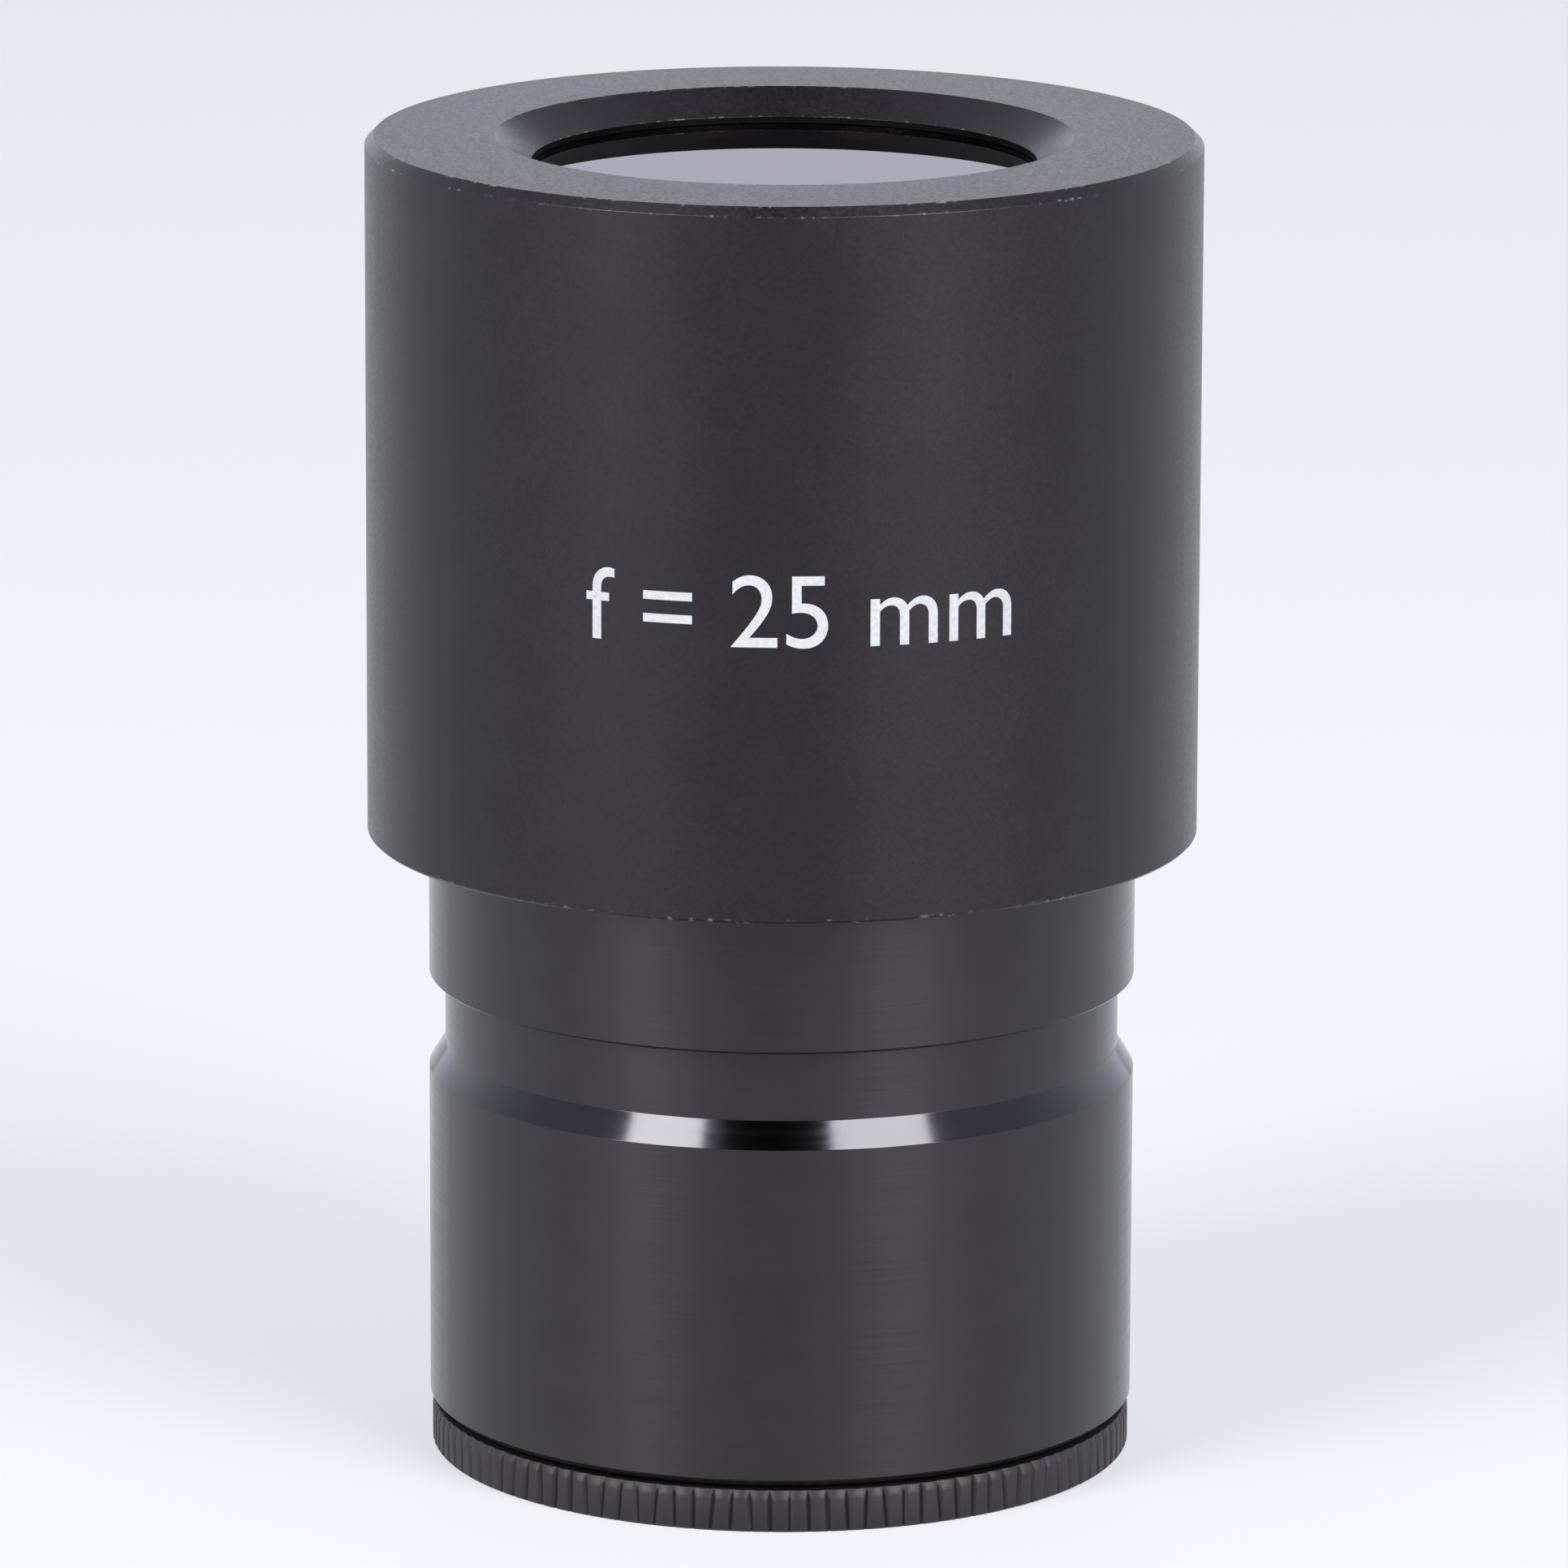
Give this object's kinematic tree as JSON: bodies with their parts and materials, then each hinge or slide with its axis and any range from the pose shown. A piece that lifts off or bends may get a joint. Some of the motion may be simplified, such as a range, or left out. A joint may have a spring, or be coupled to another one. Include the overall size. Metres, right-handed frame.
{
  "type": "microscope eyepiece",
  "caption": "Wide-field microscope eyepiece: cylindrical black housing, push-in barrel with a locking undercut and a knurled screw-in reticle carrier at its foot.",
  "frame": {"origin": "centre of the knurled ring's foot face, the lowest point of the part as it stands", "axes": "+Z along the optical axis, from the foot to the eye; +Y away from the marked front; +X to the right seen from the front"},
  "size_m": [0.0352, 0.0352, 0.0566],
  "materials": {
    "housing_anodised": "bead-blasted, black anodised, matt",
    "barrel_anodised": "finely turned, black anodised, satin",
    "carrier_anodised": "straight knurled, black anodised, satin",
    "inner_anodised": "turned, black anodised, matt",
    "stop_black": "dead matt black",
    "spring_steel": "blackened spring wire",
    "shim_brass": "rolled",
    "coated_glass": "polished, multi-coated, ground black edge"
  },
  "bodies": {
    "body": {"housing": "housing_anodised", "barrel": "barrel_anodised", "lens_cell": "inner_anodised", "parfocal_shim": "shim_brass", "eye_lens": "coated_glass", "eye_lens_spacer": "inner_anodised", "middle_flint_lens": "coated_glass", "middle_crown_lens": "coated_glass", "doublet_spacer": "inner_anodised", "field_crown_lens": "coated_glass", "field_flint_lens": "coated_glass", "lens_retaining_ring": "inner_anodised"},
    "field_stop": {"field_stop": "stop_black"},
    "carrier": {"reticle_carrier": "carrier_anodised", "stop_snap_ring": "spring_steel"}
  },
  "joints": [
    {"name": "stop_travel", "type": "slide", "parent": "body", "child": "field_stop", "axis": [0, 0, -1], "range_m": [0, 0.0046]},
    {"name": "carrier_turn", "type": "hinge", "parent": "field_stop", "child": "carrier", "pos_m": [0, 0, 0], "axis": [0, 0, -1], "range_deg": [0, 3240]}
  ],
  "couplings": [
    {"joint": "stop_travel", "follows": "carrier_turn", "m_per_rad": 0.000079577}
  ]
}
